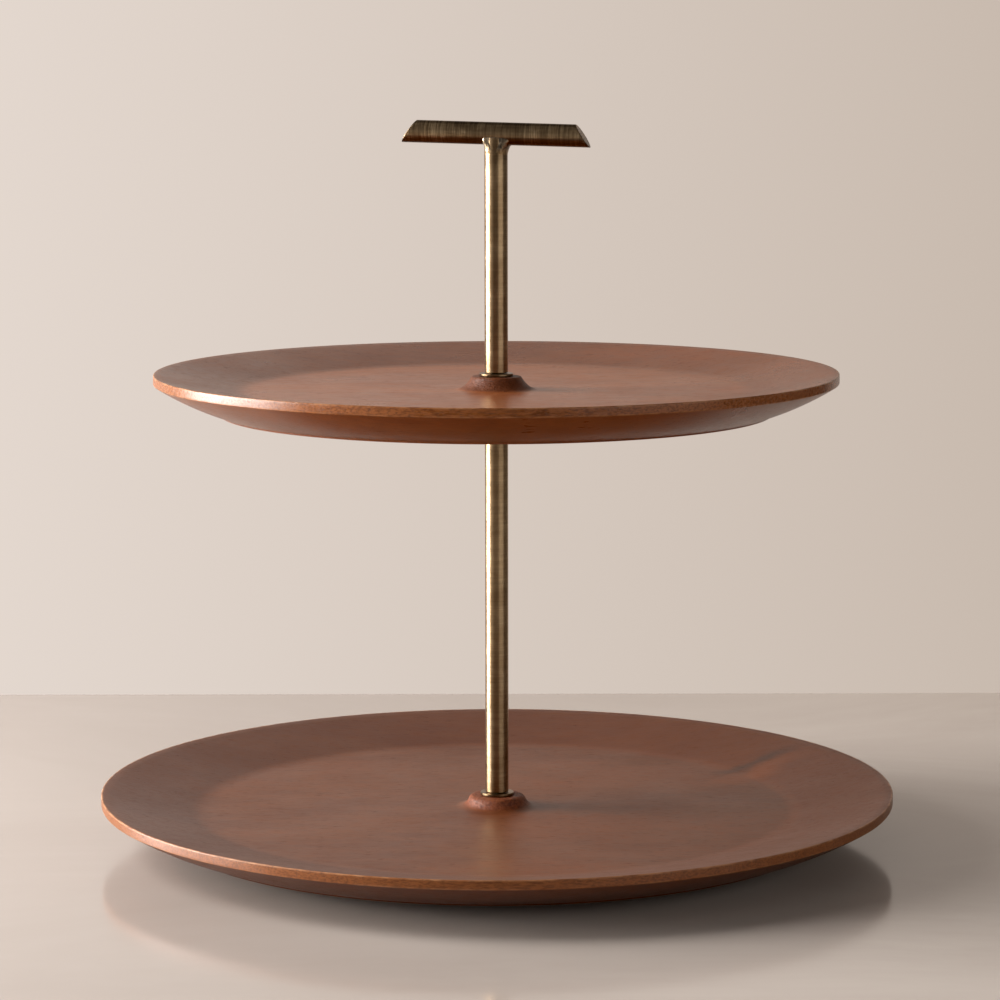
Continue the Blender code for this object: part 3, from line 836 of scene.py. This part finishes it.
def braze_metal():
    """Filler metal with brown heat blotches, kept off its left so that side stays bright where the window
    lights it: painted shade on the right and front.
    """
    g = Graph("braze_metal")
    blotch = g.noise(g.position, (330.0, 330.0, 330.0), 3.0, 0.55, 0.6)
    grit = g.noise(g.position, (2400.0, 2400.0, 2400.0), 2.0, 0.6)
    x, _, z = g.parts(g.position)
    # Heat blotches on the right and front only, as painted shade there; the left stays bright where the
    # window lights it
    burnt_and_shaded = g.math("MULTIPLY", g.span(blotch, 0.42, 0.62, 1.0, 0.25), g.span(x, -0.0026, -0.0004))
    color = g.mix(burnt_and_shaded, BRAZE_BRIGHT, BRAZE_BURNT_SHADED)
    color = g.mix(g.span(grit, 0.55, 0.75, 0.0, 0.4), color, BRAZE_GRIT)
    # It runs out into the rod's own color
    thin = g.span(z, BAR_AXIS_HEIGHT - 0.0058, BAR_AXIS_HEIGHT - 0.0084)
    color = g.mix(thin, color, BRASS_AGED)
    rough = g.span(blotch, 0.35, 0.65, 0.36, 0.29)
    normal = g.bump(blotch, 0.00004, 0.5)
    normal = g.bump(grit, 0.00001, 0.5, normal)
    return g.finish(Base_Color=color, Roughness=rough, Normal=normal, Metallic=1.0)


def plain_steel():
    """Bright steel fastener with fine turning lines and handling marks."""
    g = Graph("steel_fastener")
    radius = g.vector("LENGTH", g.vector("MULTIPLY", g.position, (1.0, 1.0, 0.0)))
    turning = g.noise(g.node("ShaderNodeCombineXYZ", {}, X=radius).outputs["Vector"],
                      (5200.0, 1.0, 1.0), 2.0, 0.6)
    smudge = g.noise(g.position, (260.0, 260.0, 260.0), 3.0, 0.6)
    color = g.mix(g.span(smudge, 0.35, 0.65), STEEL_DULL, STEEL_BRIGHT)
    color = g.mix(g.span(turning, 0.4, 0.6, 0.25, 0.0), color, STEEL_GROOVE)
    rough = g.span(smudge, 0.3, 0.7, 0.24, 0.40)
    return g.finish(Base_Color=color, Roughness=rough, Normal=g.bump(turning, 0.00002, 0.5), Metallic=1.0)


def zinc_plate():
    """Zinc-plated screw with the faint crystal pattern of the plating."""
    g = Graph("zinc_plate")
    scaled = g.vector("MULTIPLY", g.position, (1500.0, 1500.0, 1500.0))
    crystals = g.node("ShaderNodeTexVoronoi", {}, Vector=scaled, Scale=1.0).outputs["Color"]
    tone = g.parts(crystals)[0]
    haze = g.noise(g.position, (500.0, 500.0, 500.0), 3.0, 0.6)
    color = g.mix(tone, ZINC_DARK, ZINC_LIGHT)
    color = g.mix(g.span(haze, 0.55, 0.75, 0.0, 0.35), color, ZINC_YELLOWED)
    rough = g.span(haze, 0.3, 0.7, 0.26, 0.42)
    return g.finish(Base_Color=color, Roughness=rough, Normal=g.bump(haze, 0.00003, 0.4), Metallic=1.0)


def foot_rubber():
    """Dark moulded rubber with a fine matt skin and a little dust."""
    g = Graph("foot_rubber")
    skin = g.noise(g.position, (3200.0, 3200.0, 3200.0), 2.0, 0.6)
    dust = g.noise(g.position, (240.0, 240.0, 240.0), 4.0, 0.65)
    color = g.mix(g.span(dust, 0.52, 0.72, 0.0, 0.5), RUBBER, RUBBER_DUST)
    rough = g.span(dust, 0.3, 0.7, 0.58, 0.76)
    return g.finish(Base_Color=color, Roughness=rough, Normal=g.bump(skin, 0.00005, 0.5))


# ---------------------------------------------------------------- stage and light
TABLE_BACK = 0.342                  # from the rod's axis to the table's back edge
# The wall's colors are lighter on the left, where the window lights it: painted light on the backdrop the
# camera sees
WALL_LIT_LEFT = (0.775, 0.686, 0.623)
WALL_DIM_RIGHT = (0.578, 0.491, 0.423)
PANEL_DISTANCE = 1.6
PANEL_CENTRE = 0.12                 # height that the panels stand round
PANEL_COLOR = (1.0, 0.985, 0.97)
BLACK_LEVEL = (0.0025, 0.0025, 0.0025)
ROOM_COLOR = (1.0, 0.90, 0.82)
ROOM_STRENGTH = 0.05
TABLE_DARK = (0.545, 0.468, 0.412)
TABLE_LIGHT = (0.635, 0.556, 0.498)
TABLE_LEFT_SHADE = (0.31, 0.264, 0.235)
# Light panels: name, sweep and rise in degrees, radiance
PANELS = (("window", (90, 122), (0, 14), 34.0),
          ("window_near_side", (69, 90), (0, 14), 29.0),
          ("window_edge", (36, 69), (0, 16), 1.3),
          ("window_upper", (80, 122), (14, 50), 13.0),
          ("window_low", (78, 142), (-4, 0), 30.0),
          ("window_return", (122, 150), (0, 40), 2.5),
          ("ceiling", (60, 120), (62, 95), 0.15),
          ("front", (-22, 36), (0, 18), 0.22),
          ("front_high", (-32, 45), (18, 62), 0.12),
          ("front_right", (-72, -22), (0, 25), 1.8),
          ("right", (-120, -80), (0, 20), 0.20))


def stage_plane(name, corners, material):
    """Flat sheet through corners given as (to the left, towards the camera, up)."""
    points = [CAMERA_LEFT * left + TO_CAMERA * near + Vector((0.0, 0.0, up)) for left, near, up in corners]
    mesh = bpy.data.meshes.new(name)
    mesh.from_pydata(points, [], [tuple(range(len(points)))])
    mesh.materials.append(material)
    obj = bpy.data.objects.new(name, mesh)
    bpy.context.scene.collection.objects.link(obj)
    return obj


def table_top():
    g = Graph("table_top")
    cloud = g.noise(g.position, (3.0, 5.0, 5.0), 5.0, 0.6, 0.8)
    color = g.mix(g.span(cloud, 0.3, 0.7), TABLE_DARK, TABLE_LIGHT)
    # Painted shade: the table darkened towards the left, where the window lights it most
    across = g.vector("DOT_PRODUCT", g.position, tuple(CAMERA_LEFT))
    color = g.mix(g.span(across, -0.30, 0.20, 0.0, 0.62), color, TABLE_LEFT_SHADE)
    rough = g.span(cloud, 0.3, 0.7, 0.10, 0.16)
    return g.finish(Base_Color=color, Roughness=rough, IOR=1.45)


def wall_glow():
    """The pale wall behind, as light only: the world shows the camera its color."""
    g = Graph("wall_glow")
    g.nodes.remove(g.shader)
    across = g.vector("DOT_PRODUCT", g.position, tuple(CAMERA_LEFT))
    color = g.mix(g.span(across, -0.3, 0.3, smooth=False), WALL_DIM_RIGHT, WALL_LIT_LEFT)
    height = g.parts(g.position)[2]
    strength = g.math("MULTIPLY", g.span(height, 0.36, 0.60, 1.0, 0.14),
                      g.span(across, -0.1, 0.3, 0.88, 1.1))
    glow = g.node("ShaderNodeEmission", {}, Color=color, Strength=strength)
    g.links.new(glow.outputs[0], g.nodes["Material Output"].inputs["Surface"])
    return g.material


def make_stage():
    stage_plane("table", [(-1.6, -TABLE_BACK, 0.0), (1.9, -TABLE_BACK, 0.0),
                          (1.9, 1.1, 0.0), (-1.6, 1.1, 0.0)], table_top())
    wall = stage_plane("wall", [(-0.42, -TABLE_BACK, 0.0), (0.9, -TABLE_BACK, 0.0),
                                (0.9, -TABLE_BACK, 0.9), (-0.42, -TABLE_BACK, 0.9)], wall_glow())
    wall.visible_camera = False


def soft_panel(name, sweep, rise, radiance):
    """Panel that faces the object and fills a sweep and a rise of its surroundings, in degrees.

    The sweep is measured from the camera's side round to its left, the rise from PANEL_CENTRE up.
    """
    turn = math.radians(sum(sweep) / 2)
    lift = math.radians(sum(rise) / 2)
    level = TO_CAMERA * math.cos(turn) + CAMERA_LEFT * math.sin(turn)
    out = level * math.cos(lift) + Vector((0.0, 0.0, math.sin(lift)))
    half_sweep = math.radians((sweep[1] - sweep[0]) / 2)
    half_rise = math.radians((rise[1] - rise[0]) / 2)
    data = bpy.data.lights.new(name, "AREA")
    data.shape = "RECTANGLE"
    data.size = 2 * PANEL_DISTANCE * math.tan(half_sweep) * max(math.cos(lift), 0.3)
    data.size_y = 2 * PANEL_DISTANCE * math.tan(half_rise)
    data.energy = radiance * math.pi * data.size * data.size_y
    data.color = PANEL_COLOR
    light = bpy.data.objects.new(name, data)
    light.location = out * PANEL_DISTANCE + Vector((0.0, 0.0, PANEL_CENTRE))
    light.rotation_euler = out.to_track_quat("Z", "Y").to_euler()
    bpy.context.scene.collection.objects.link(light)


def make_world():
    """Dim warm room for light and reflections, and the pale wall's color for the camera, painted lighter on
    the left where the window lights it.
    """
    world = bpy.data.worlds.new("room")
    bpy.context.scene.world = world
    world.use_nodes = True
    nodes, links = world.node_tree.nodes, world.node_tree.links
    nodes.clear()
    out = nodes.new("ShaderNodeOutputWorld")
    room = nodes.new("ShaderNodeBackground")
    room.inputs["Color"].default_value = (*ROOM_COLOR, 1.0)
    room.inputs["Strength"].default_value = ROOM_STRENGTH
    shown = nodes.new("ShaderNodeBackground")
    direction = nodes.new("ShaderNodeTexCoord")
    across = nodes.new("ShaderNodeVectorMath")
    across.operation = "DOT_PRODUCT"
    across.inputs[1].default_value = CAMERA_LEFT
    spread = nodes.new("ShaderNodeMapRange")
    spread.inputs["From Min"].default_value = -0.15
    spread.inputs["From Max"].default_value = 0.15
    tint = nodes.new("ShaderNodeMix")
    tint.data_type = "RGBA"
    tint.inputs[6].default_value = (*WALL_DIM_RIGHT, 1.0)
    tint.inputs[7].default_value = (*WALL_LIT_LEFT, 1.0)
    path = nodes.new("ShaderNodeLightPath")
    choose = nodes.new("ShaderNodeMixShader")
    links.new(direction.outputs["Generated"], across.inputs[0])
    links.new(across.outputs["Value"], spread.inputs["Value"])
    links.new(spread.outputs["Result"], tint.inputs[0])
    links.new(tint.outputs[2], shown.inputs["Color"])
    links.new(path.outputs["Is Camera Ray"], choose.inputs["Fac"])
    links.new(room.outputs[0], choose.inputs[1])
    links.new(shown.outputs[0], choose.inputs[2])
    links.new(choose.outputs[0], out.inputs["Surface"])


def make_light():
    make_world()
    for name, sweep, rise, radiance in PANELS:
        soft_panel(name, sweep, rise, radiance)
    scene = bpy.context.scene
    scene.view_settings.view_transform = "Standard"
    scene.view_settings.look = "None"
    scene.view_settings.use_curve_mapping = True
    scene.view_settings.curve_mapping.black_level = BLACK_LEVEL
    scene.view_settings.curve_mapping.update()


# ---------------------------------------------------------------- assembly
def main():
    make_camera()
    make_stage()
    make_light()

    round_brush = aged_brass("aged_brass_rod", 2, contrast=0.30, stretch=0.70)
    bar_brush = aged_brass("aged_brass_bar", 0, contrast=1.0, stretch=0.35)
    steel = plain_steel()
    for node, sizes, looks in (("lower_plate", LOWER_PLATE, LOWER_WOOD),
                               ("upper_plate", UPPER_PLATE, UPPER_WOOD)):
        make_plate(node, sizes, turned_wood(f"{node}_wood", node, sizes["floor_radius"], **looks))
    make_lower_rod(round_brush)
    make_upper_rod(round_brush)
    make_bar(bar_brush)
    make_braze(braze_metal())
    # The washers' brass is darkened as painted shade
    shade_painted_brass = aged_brass("aged_brass_washer", 2, contrast=0.30, stretch=0.70, painted_shade_amount=0.58)
    for node, body in (("lower_flange_washer", "stand"), ("upper_flange_washer", "handle_washer"),
                       ("under_plate_washer", "stand")):
        make_washer(node, body, shade_painted_brass, 0.00025)
    make_washer("base_washer", "stand", steel, 0.0003)
    make_stud(steel)
    make_base_screw(steel)
    make_feet(foot_rubber(), zinc_plate())


main()
